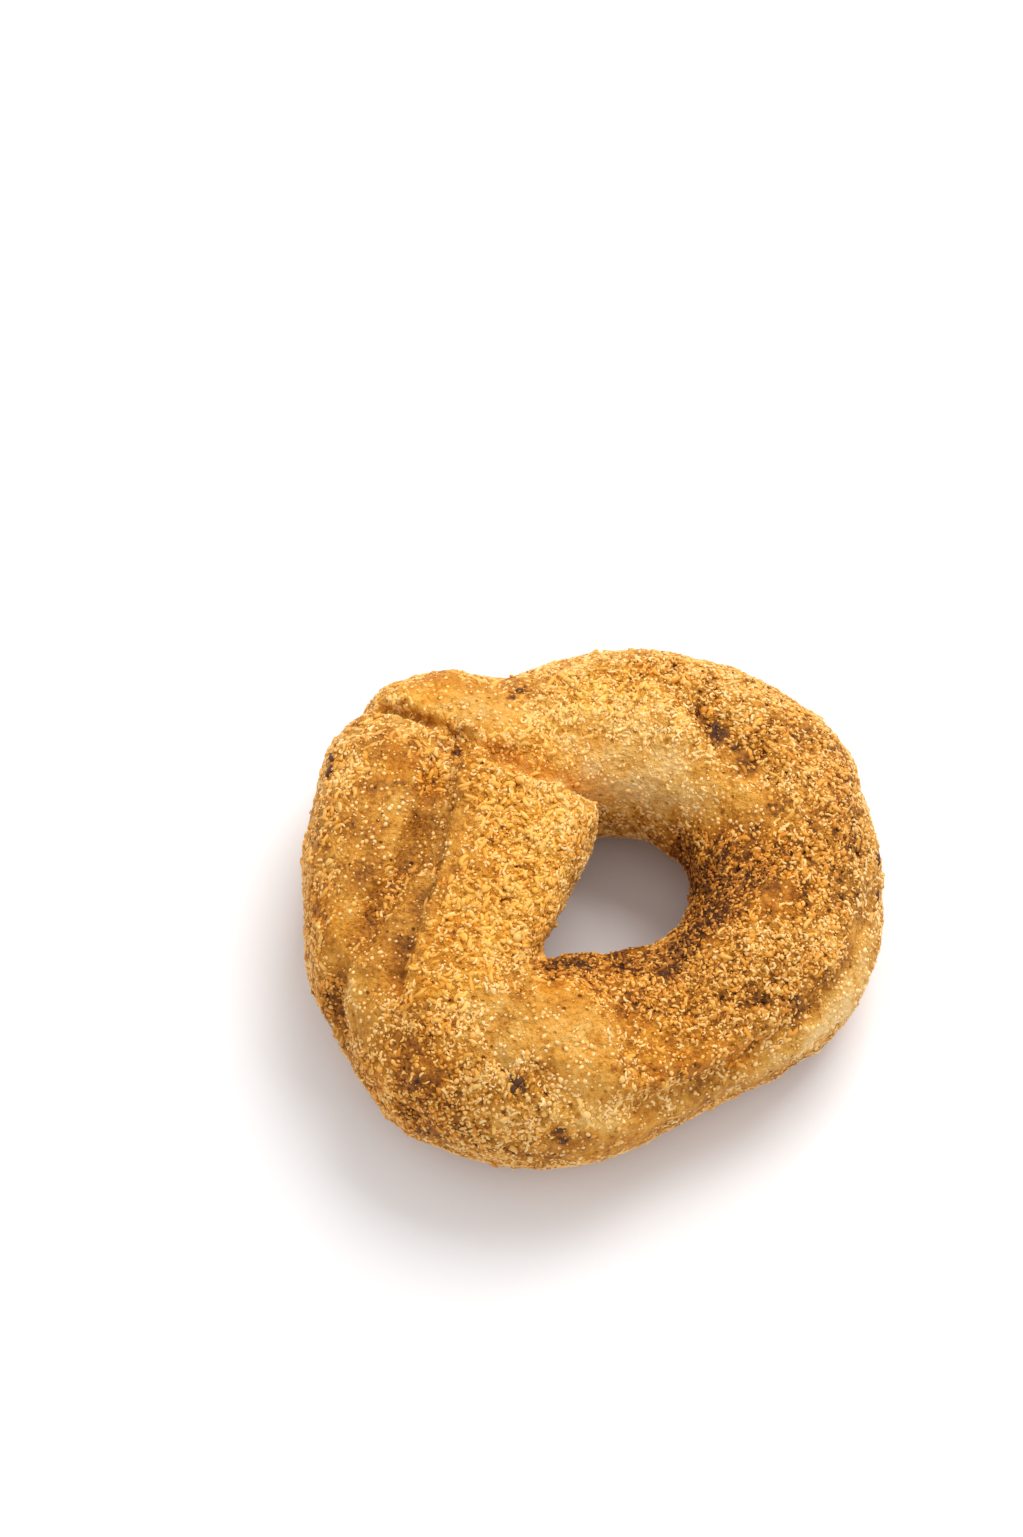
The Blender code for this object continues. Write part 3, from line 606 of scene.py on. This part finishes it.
def thread_shape(number, radius, growths, least_curl, most_curl):
    """A tube that grows or shrinks by each of the growths, about as long as they are many."""
    draw = np.random.default_rng(number)
    bpy.ops.mesh.primitive_circle_add(vertices=5, radius=radius, fill_type="NGON")
    thread = bpy.context.object
    edit_all()
    bpy.ops.transform.rotate(value=math.pi / 2, orient_axis="Y", center_override=(0, 0, 0))
    end = Vector((0, 0, 0))
    heading, curl = 0.0, draw.uniform(least_curl, most_curl)
    for growth in growths:
        move = Vector((math.cos(heading), math.sin(heading), draw.uniform(-0.2, 0.2)))
        move *= draw.uniform(0.75, 1.1)
        bpy.ops.mesh.extrude_region_move(TRANSFORM_OT_translate={"value": move})
        end += move
        bpy.ops.transform.resize(value=(growth, growth, growth), center_override=end)
        bpy.ops.transform.rotate(value=-curl, orient_axis="Z", center_override=end)
        heading += curl
    bpy.ops.mesh.select_all(action="SELECT")
    bpy.ops.mesh.normals_make_consistent(inside=False)
    bpy.ops.mesh.quads_convert_to_tris()
    bpy.ops.object.mode_set(mode="OBJECT")
    return as_arrays(thread)


def bean_shape(number):
    return thread_shape(number, 0.42, (1.9, 1.1, 0.92, 0.5), 0.0, 0.6)


def curl_shape(number):
    return thread_shape(number, 0.38, (1.75, 1.05, 0.95, 0.55), 0.2, 1.0)


def a_dozen(shape):
    made = [shape(number) for number in range(SHAPES_EACH)]
    return np.array([corners for corners, faces in made]), [faces for corners, faces in made]


GRAINS, BEANS, CURLS = a_dozen(grain_shape), a_dozen(bean_shape), a_dozen(curl_shape)
shapes = {"grain": GRAINS, "bean": BEANS, "curl": CURLS}
print({name: len(shape[1][0]) for name, shape in shapes.items()}, "faces each")

# %% [markdown]
# ## Scattering the crumbs
# Geometry nodes or a particle system could scatter them. Here the places are drawn in code,
# because each kind needs its own chance at each place. A place is drawn by area and chance, and
# dropped if another of the kind is too near, which keeps the coat even. Every crumb takes the
# baking of the crust below it, with the painted light and shade there, so that a toasted patch has
# toasted crumbs. Each crumb is also painted paler on top, a painted light for sugar that lets light
# in and glows where it is thin.


# %% Helpers that scatter
# How much paler crumb tops are painted, a painted light.
PAINTED_LIGHT_ON_TOPS = 0.18
TILT = 0.2
MOSTLY_SMALL = 2.0
TRIES_EACH = 4


def drawn_places(piece, chance, count, spacing, draw):
    """Triangles and the shares of their corners, drawn by area and chance and kept apart."""
    mesh = piece.data
    mesh.calc_loop_triangles()
    corners, normals = surface(piece)
    triangles = np.array([t.vertices for t in mesh.loop_triangles])
    areas = np.array([t.area for t in mesh.loop_triangles])
    weights = areas * chance[triangles].mean(axis=1)
    picks = draw.choice(len(triangles), count * TRIES_EACH, p=weights / weights.sum())
    shares = draw.dirichlet((1, 1, 1), len(picks))
    spots = (corners[triangles[picks]] * shares[:, :, None]).sum(axis=1)
    taken, kept = {}, []
    for number, spot in enumerate(spots):
        box = tuple((spot // spacing).astype(int))
        around = [
            other
            for i in (-1, 0, 1) for j in (-1, 0, 1) for k in (-1, 0, 1)
            for other in taken.get((box[0] + i, box[1] + j, box[2] + k), ())
        ]
        if any(((spot - other) ** 2).sum() < spacing**2 for other in around):
            continue
        taken.setdefault(box, []).append(spot)
        kept.append(number)
        if len(kept) == count:
            break
    return triangles[picks[kept]], shares[kept]


def scatter(name, kind, chance, count, spacing, radii, lift, seed, stretch=1.3):
    """One piece of many crumbs. Spacing and radii are in millimetres, and most crumbs are small."""
    draw = np.random.default_rng(seed)
    triangles, shares = drawn_places(dough, chance, count, spacing, draw)
    count = len(triangles)
    corners, normals = surface(dough)
    centre = (corners[triangles] * shares[:, :, None]).sum(axis=1)
    up = (normals[triangles] * shares[:, :, None]).sum(axis=1) + draw.normal(0, TILT, (count, 3))
    up /= np.linalg.norm(up, axis=1)[:, None]
    across = np.cross(up, draw.normal(0, 1, (count, 3)))
    across /= np.linalg.norm(across, axis=1)[:, None]
    axes = np.stack([across, np.cross(up, across), up], axis=1)
    radius = radii[0] + (radii[1] - radii[0]) * draw.random(count) ** MOSTLY_SMALL
    sizes = radius[:, None] * draw.uniform((1.0, 0.85, 0.75), (stretch, 1.1, 1.0), (count, 3))

    shapes, shape_faces = kind
    chosen = draw.integers(0, SHAPES_EACH, count)
    turned = np.einsum("nkc,ncd->nkd", shapes[chosen] * sizes[:, None, :], axes)
    placed = centre[:, None, :] + turned + (up * radius[:, None] * lift)[:, None, :]
    each = shapes.shape[1]
    faces = [shape_faces[pick] + number * each for number, pick in enumerate(chosen)]
    mesh = bpy.data.meshes.new(name)
    mesh.from_pydata(placed.reshape(-1, 3) * MM, [], np.concatenate(faces))
    piece = bpy.data.objects.new(name, mesh)
    bpy.context.scene.collection.objects.link(piece)

    below = {}
    for value in ("bake_and_painted_light", "amber"):
        stored = np.empty(len(corners), dtype=np.float32)
        dough.data.attributes[value].data.foreach_get("value", stored)
        below[value] = np.repeat((stored[triangles] * shares).sum(axis=1), each)
    height = np.einsum("nkd,nd->nk", turned, up) / radius[:, None]
    # Crumb tops painted paler, a painted light.
    keep(piece, "bake_and_painted_light", below["bake_and_painted_light"] - PAINTED_LIGHT_ON_TOPS * height.ravel())
    keep(piece, "amber", below["amber"])
    keep(piece, "tint", np.repeat(draw.random(count), each))
    mesh.shade_smooth()
    print(name, count, "crumbs,", len(mesh.polygons), "faces")
    return piece


# %% [markdown]
# ## Kinds of crumb
# Threads of set sugar and grains of several bakings make up the coat. On the lap the threads
# are thick beans, half melted in, and on the right they are thin curls. They lie in clumps
# with amber dough between. There are two patterns of clumps, and some gaps are shared by all.
# Dust strays over the bare dough in groups. A few coarse crumbs are the largest of all, and
# sparks of sugar on top are glossy and painted nearly white as painted highlights. Hardly any
# crumb lies in a pit, so the pits stay open, and they are painted dark as shade.
# A lift below 0 sinks a crumb into the crust by that share of its radius.

# %% Scatter each kind
LEAST_IN_GAPS = 0.12
DUST_STRETCH = 2.2

corners, normals = surface(dough)
clear = step(corners[:, 2], 1.0, 3.0) * (1 - 0.95 * pits)
clumps = at_least(LEAST_IN_GAPS, step(cloud(corners, 1.7, 31), -0.12, 0.22))
other_clumps = at_least(LEAST_IN_GAPS, step(cloud(corners, 2.3, 32), -0.05, 0.30))
strays = step(cloud(corners, 2.6, 33), 0.0, 0.4)
gaps = cloud(corners, 2.7, 34) + 0.5 * cloud(corners, 1.2, 35)
shared_gaps = at_least(0.15, step(gaps, -0.30, 0.15))
on_coat = clear * coat**1.3 * shared_gaps
left_of_hole = step(-corners[:, 0] + 4.0 * patchy, -1.0, 7.0)
behind_near_rim = step(corners[:, 1] + 4.0 * patchy, -24.0, -16.0)
on_lap = at_least(LEAST_IN_GAPS, left_of_hole * behind_near_rim)
right_more = 1.25 - 0.7 * on_lap

# Each kind has a shape, a chance, a count, a spacing, a range of radii, a lift and a seed.
KINDS = {
    "golden_beans": (
        BEANS, on_coat * on_lap * clumps, 1700, 1.0, (0.33, 0.52), -0.4, 101,
    ),
    "pale_beans": (
        BEANS, on_coat * on_lap * other_clumps, 1400, 1.0, (0.31, 0.50), -0.3, 109,
    ),
    "golden_curls": (
        CURLS, on_coat * (1.12 - on_lap) * clumps, 2100, 0.85, (0.24, 0.38), -0.3, 110,
    ),
    "pale_curls": (
        CURLS, on_coat * (1.25 - on_lap) * other_clumps, 2600, 0.85, (0.22, 0.36), -0.1, 102,
    ),
    "toasted_curls": (
        CURLS, on_coat * (0.1 + toasted_and_shaded), 1500, 0.8, (0.22, 0.32), -0.1, 103,
    ),
    "golden_grains": (
        GRAINS, on_coat * clumps * right_more + 0.05 * clear, 4700, 0.55, (0.18, 0.44), -0.2, 104,
    ),
    "sugar_grains": (
        GRAINS, on_coat * other_clumps * right_more + clear * (0.02 + 0.12 * strays),
        8000, 0.5, (0.18, 0.38), -0.1, 108,
    ),
    "crumb_dust": (
        GRAINS, 0.6 * on_coat + clear * (1 - 0.7 * bare) * (0.1 + 0.5 * strays),
        6000, 0.4, (0.09, 0.19), 0.0, 105, DUST_STRETCH,
    ),
    # Sugar sparks: glossy grains painted nearly white, painted highlights.
    "painted_sugar_glints": (
        GRAINS, on_coat + 0.2 * clear, 1400, 1.0, (0.10, 0.18), 0.8, 107,
    ),
    "coarse_crumbs": (
        GRAINS, on_coat, 400, 2.0, (0.36, 0.68), -0.2, 106,
    ),
}
kinds = {name: scatter(name, *kind) for name, kind in KINDS.items()}

# %% [markdown]
# ## Burnt bits
# Here and there a bit of fruit or burnt sugar sits in the crust, nearly black. Each is one of the
# grain shapes, longer and flatter, set at its own place.

# %% Set the burnt bits
BIT_FORM = np.array((1.5, 0.8, 0.5))


def burnt_bits():
    draw = np.random.default_rng(201)
    corners, normals = surface(dough)
    made, faces = [], []
    for number, (x, y, z, radius) in enumerate(BURNT):
        nearest = np.linalg.norm(corners - np.array((x, y, z)), axis=1).argmin()
        up = normals[nearest]
        across = np.cross(up, draw.normal(0, 1, 3))
        across /= np.linalg.norm(across)
        turn = np.stack([across, np.cross(up, across), up])
        local = GRAINS[0][number % SHAPES_EACH] * radius * BIT_FORM
        made.append(corners[nearest] + local @ turn)
        faces.append(GRAINS[1][number % SHAPES_EACH] + number * GRAINS[0].shape[1])
    mesh = bpy.data.meshes.new("burnt_bits")
    mesh.from_pydata(np.concatenate(made) * MM, [], np.concatenate(faces))
    piece = bpy.data.objects.new("burnt_bits", mesh)
    bpy.context.scene.collection.objects.link(piece)
    mesh.shade_smooth()
    return piece


bits = burnt_bits()
print(len(BURNT), "burnt bits")

# %% [markdown]
# ## Finishes
# The crust and all its crumbs share one scale of baking colours, from cream to dark brown, so
# the scale is a node group that each material uses with its own values. It takes how far the
# place is baked together with its painted light and shade, how much amber sugar it has and a
# tint, and gives a colour.

# %% Helpers that build materials
BAKING_SCALE = [
    (0.00, (0.920, 0.665, 0.320)),
    (0.20, (0.830, 0.515, 0.168)),
    (0.42, (0.680, 0.332, 0.050)),
    (0.62, (0.450, 0.183, 0.021)),
    (0.82, (0.200, 0.073, 0.012)),
    (1.00, (0.065, 0.025, 0.013)),
]
AMBER_GLAZE = (1.00, 0.78, 0.33, 1.0)


def node(tree, kind, **values):
    made = tree.nodes.new(kind)
    for name, value in values.items():
        setattr(made, name, value)
    return made


def join(tree, source, target):
    tree.links.new(source, target)


def sum_of(tree, first, second, factor=1.0):
    """first + second * factor"""
    made = node(tree, "ShaderNodeMath", operation="MULTIPLY_ADD")
    join(tree, second, made.inputs[0])
    made.inputs[1].default_value = factor
    join(tree, first, made.inputs[2])
    return made.outputs[0]


def baking_group():
    group = bpy.data.node_groups.new("baking colours", "ShaderNodeTree")
    for name in ("Bake", "Amber", "Tint"):
        group.interface.new_socket(name, in_out="INPUT", socket_type="NodeSocketFloat")
    group.interface.new_socket("Color", in_out="OUTPUT", socket_type="NodeSocketColor")
    taken = node(group, "NodeGroupInput")
    given = node(group, "NodeGroupOutput")
    scale = node(group, "ShaderNodeValToRGB")
    stops = scale.color_ramp.elements
    while len(stops) < len(BAKING_SCALE):
        stops.new(0.5)
    for stop, (place, colour) in zip(stops, BAKING_SCALE):
        stop.position = place
        stop.color = (*colour, 1.0)
    join(group, taken.outputs["Bake"], scale.inputs[0])
    orange = node(group, "ShaderNodeMix", data_type="RGBA", blend_type="MULTIPLY")
    join(group, taken.outputs["Amber"], orange.inputs["Factor"])
    join(group, scale.outputs["Color"], orange.inputs["A"])
    orange.inputs["B"].default_value = AMBER_GLAZE
    shade = node(group, "ShaderNodeHueSaturation")
    join(group, orange.outputs["Result"], shade.inputs["Color"])
    join(group, taken.outputs["Tint"], shade.inputs["Value"])
    join(group, shade.outputs["Color"], given.inputs["Color"])
    return group


BAKING = baking_group()


def finish_named(name, roughness, specular):
    """A new material with its tree, its surface shader and the object's own coordinates."""
    material = bpy.data.materials.new(name)
    material.use_nodes = True
    tree = material.node_tree
    shader = tree.nodes["Principled BSDF"]
    shader.inputs["Roughness"].default_value = roughness
    shader.inputs["Specular IOR Level"].default_value = specular
    where = node(tree, "ShaderNodeTexCoord").outputs["Object"]
    return material, tree, shader, where


def noise_of(tree, where, size_mm, detail=3.0):
    """Noise around 0, from about -0.5 to 0.5, with lumps of the size."""
    made = node(tree, "ShaderNodeTexNoise")
    made.inputs["Scale"].default_value = 1 / (size_mm * MM)
    made.inputs["Detail"].default_value = detail
    join(tree, where, made.inputs["Vector"])
    centred = node(tree, "ShaderNodeMath", operation="SUBTRACT")
    join(tree, made.outputs["Fac"], centred.inputs[0])
    centred.inputs[1].default_value = 0.5
    return centred.outputs[0]


def attribute(tree, name):
    return node(tree, "ShaderNodeAttribute", attribute_name=name).outputs["Fac"]


def constant_plus(tree, value, source, factor):
    """value + source * factor"""
    made = node(tree, "ShaderNodeMath", operation="MULTIPLY_ADD")
    join(tree, source, made.inputs[0])
    made.inputs[1].default_value = factor
    made.inputs[2].default_value = value
    return made.outputs[0]


def coloured(tree, shader, bake_and_painted_light, amber, tint):
    baking = node(tree, "ShaderNodeGroup")
    baking.node_tree = BAKING
    join(tree, bake_and_painted_light, baking.inputs["Bake"])
    join(tree, amber, baking.inputs["Amber"])
    join(tree, tint, baking.inputs["Tint"])
    join(tree, baking.outputs["Color"], shader.inputs["Base Color"])


# %% [markdown]
# The dough's own crust adds finer detail than the mesh can hold. Sugar that melted and set again
# is a lace: two sizes of noise, each folded at its zero, leave pale winding lines. Between them
# are holes, which are the middles of a Voronoi texture. Both are strong on the coat and faint on
# bare dough. Sparser pinholes, mottling and upright streaks, as of dough that was pulled, lie all
# over. They colour the crust and most of them also raise or sink it with a bump. The holes and
# pinholes are painted darker, as painted shade inside them. A strength is how far up the scale of
# baking a pattern moves the crust.

# %% Finish the dough
LACE_SIZES = (1.00, 0.55)
LACE_SHARPNESS = 10.0
LACE_STRENGTH = -0.20
HOLE_SPACING = 1.15
HOLE_RADIUS = 0.27
PINHOLE_SPACING = 2.2
PINHOLE_RADIUS = 0.14
HOLE_SHARPNESS = 12.0
# How much darker the holes are painted, painted shade.
PAINTED_SHADE_IN_HOLES = 0.32
MOTTLING = ((2.5, 0.30), (0.6, 0.50))
STREAK_SIZE = 0.8
STREAK_SQUEEZE = 0.3
STREAK_STRENGTH = 0.42
COAT_DARKER = 0.02
DOUGH_DARKER = 0.06
BUMP_STRENGTH = 0.9
BUMP_DEPTH = 0.25 * MM
HOLES_IN_BUMP = -1.4
GRAIN_SIZE = 0.55
GRAIN_IN_BUMP = 2.4
STREAKS_IN_BUMP = 2.2


def drawn_out(tree, where, share):
    """The place with its height squeezed, so that a pattern on it is drawn out upwards."""
    made = node(tree, "ShaderNodeMapping")
    made.inputs["Scale"].default_value = (1.0, 1.0, share)
    join(tree, where, made.inputs["Vector"])
    return made.outputs[0]


def lace_of(tree, where, size_mm):
    """1 along thin winding lines and 0 between them."""
    folded = node(tree, "ShaderNodeMath", operation="ABSOLUTE")
    join(tree, noise_of(tree, where, size_mm, 1.0), folded.inputs[0])
    made = node(tree, "ShaderNodeMath", operation="MULTIPLY_ADD", use_clamp=True)
    join(tree, folded.outputs[0], made.inputs[0])
    made.inputs[1].default_value = -LACE_SHARPNESS
    made.inputs[2].default_value = 1.0
    return made.outputs[0]


def holes_of(tree, where, spacing_mm, radius):
    """1 in small round holes and 0 between them. The radius is a share of the spacing."""
    scattered = node(tree, "ShaderNodeTexVoronoi")
    scattered.inputs["Scale"].default_value = 1 / (spacing_mm * MM)
    join(tree, where, scattered.inputs["Vector"])
    made = node(tree, "ShaderNodeMath", operation="MULTIPLY_ADD", use_clamp=True)
    join(tree, scattered.outputs["Distance"], made.inputs[0])
    made.inputs[1].default_value = -HOLE_SHARPNESS
    made.inputs[2].default_value = HOLE_SHARPNESS * radius
    return made.outputs[0]


def product_of(tree, first, second):
    made = node(tree, "ShaderNodeMath", operation="MULTIPLY")
    join(tree, first, made.inputs[0])
    join(tree, second, made.inputs[1])
    return made.outputs[0]


def dough_finish():
    material, tree, shader, where = finish_named("crust", 0.58, 0.2)
    coated = constant_plus(tree, 0.25, attribute(tree, "coat"), 0.75)
    coarse, fine = (lace_of(tree, where, size) for size in LACE_SIZES)
    lace = product_of(tree, sum_of(tree, coarse, fine, 0.6), coated)
    holes = product_of(tree, holes_of(tree, where, HOLE_SPACING, HOLE_RADIUS), coated)
    holes = sum_of(tree, holes, holes_of(tree, where, PINHOLE_SPACING, PINHOLE_RADIUS))
    bake_and_painted_light = attribute(tree, "bake_and_painted_light")
    for size, strength in MOTTLING:
        bake_and_painted_light = sum_of(tree, bake_and_painted_light, noise_of(tree, where, size), strength)
    streaks = noise_of(tree, drawn_out(tree, where, STREAK_SQUEEZE), STREAK_SIZE)
    bake_and_painted_light = sum_of(tree, bake_and_painted_light, streaks, STREAK_STRENGTH)
    bake_and_painted_light = sum_of(tree, bake_and_painted_light, attribute(tree, "coat"), COAT_DARKER)
    bake_and_painted_light = sum_of(tree, bake_and_painted_light, lace, LACE_STRENGTH)
    # Holes and pinholes painted darker, painted shade inside them.
    bake_and_painted_light = sum_of(tree, bake_and_painted_light, holes, PAINTED_SHADE_IN_HOLES)
    bake_and_painted_light = constant_plus(tree, DOUGH_DARKER, bake_and_painted_light, 1.0)
    tint = constant_plus(tree, 1.0, noise_of(tree, where, 1.2), 0.35)
    amber = sum_of(tree, attribute(tree, "amber"), noise_of(tree, where, 1.9), 0.6)
    coloured(tree, shader, bake_and_painted_light, amber, tint)
    height = sum_of(tree, lace, holes, HOLES_IN_BUMP)
    height = sum_of(tree, height, noise_of(tree, where, GRAIN_SIZE), GRAIN_IN_BUMP)
    height = sum_of(tree, height, streaks, STREAKS_IN_BUMP)
    bump = node(tree, "ShaderNodeBump")
    bump.inputs["Strength"].default_value = BUMP_STRENGTH
    bump.inputs["Distance"].default_value = BUMP_DEPTH
    join(tree, height, bump.inputs["Height"])
    join(tree, bump.outputs["Normal"], shader.inputs["Normal"])
    return material


dough.data.materials.append(dough_finish())
print("crust finished")

# %% [markdown]
# A crumb takes the baking of the crust below it, with the painted light and shade there, shifted
# to its own kind: sugar grains and pale threads stay far paler. Each kind also has its share of
# the amber below, and how widely its crumbs differ, and then roughness and specular. Sugar sparks
# are glossier, which gives small lights, and are painted nearly white as painted highlights.

# %% Finish the crumbs
CRUMB_MOTTLING = 0.15
CRUMB_TINT_SPREAD = 0.25
CRUMB_LOOKS = {
    "golden_beans": (-0.09, 1.4, 0.20, 0.50, 0.25),
    "pale_beans": (-0.22, 1.3, 0.20, 0.45, 0.30),
    "golden_curls": (-0.18, 0.60, 0.24, 0.50, 0.25),
    "pale_curls": (-0.43, 0.35, 0.22, 0.45, 0.30),
    "toasted_curls": (-0.12, 0.5, 0.26, 0.52, 0.25),
    "golden_grains": (-0.06, 1.1, 0.26, 0.50, 0.25),
    "sugar_grains": (-0.34, 0.75, 0.30, 0.45, 0.35),
    "crumb_dust": (-0.20, 0.9, 0.35, 0.45, 0.30),
    # Sugar sparks: painted nearly white, painted highlights.
    "painted_sugar_glints": (-0.50, 0.45, 0.20, 0.30, 0.50),
    "coarse_crumbs": (-0.16, 1.1, 0.25, 0.50, 0.30),
}


def crumb_finish(name, shift, syrup, spread, roughness, specular):
    material, tree, shader, where = finish_named(name, roughness, specular)
    bake_and_painted_light = constant_plus(tree, shift, attribute(tree, "bake_and_painted_light"), 1.0)
    own = constant_plus(tree, -0.5, attribute(tree, "tint"), 1.0)
    bake_and_painted_light = sum_of(tree, bake_and_painted_light, own, spread)
    bake_and_painted_light = sum_of(tree, bake_and_painted_light, noise_of(tree, where, 0.5), CRUMB_MOTTLING)
    tint = constant_plus(tree, 1.0, own, CRUMB_TINT_SPREAD)
    amber = constant_plus(tree, 0.0, attribute(tree, "amber"), syrup)
    coloured(tree, shader, bake_and_painted_light, amber, tint)
    return material


for name, look in CRUMB_LOOKS.items():
    kinds[name].data.materials.append(crumb_finish(name, *look))


def plain_finish(name, colour):
    material, tree, shader, where = finish_named(name, 0.7, 0.2)
    shader.inputs["Base Color"].default_value = (*colour, 1.0)
    return material


bits.data.materials.append(plain_finish("burnt", (0.105, 0.043, 0.022)))
table.data.materials.append(plain_finish("table", (0.87, 0.86, 0.86)))
print(len(bpy.data.materials), "materials")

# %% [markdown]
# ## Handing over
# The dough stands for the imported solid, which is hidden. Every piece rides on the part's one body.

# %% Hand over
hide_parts("tarallo")
for piece in (dough, bits, *kinds.values()):
    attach(piece, "root")
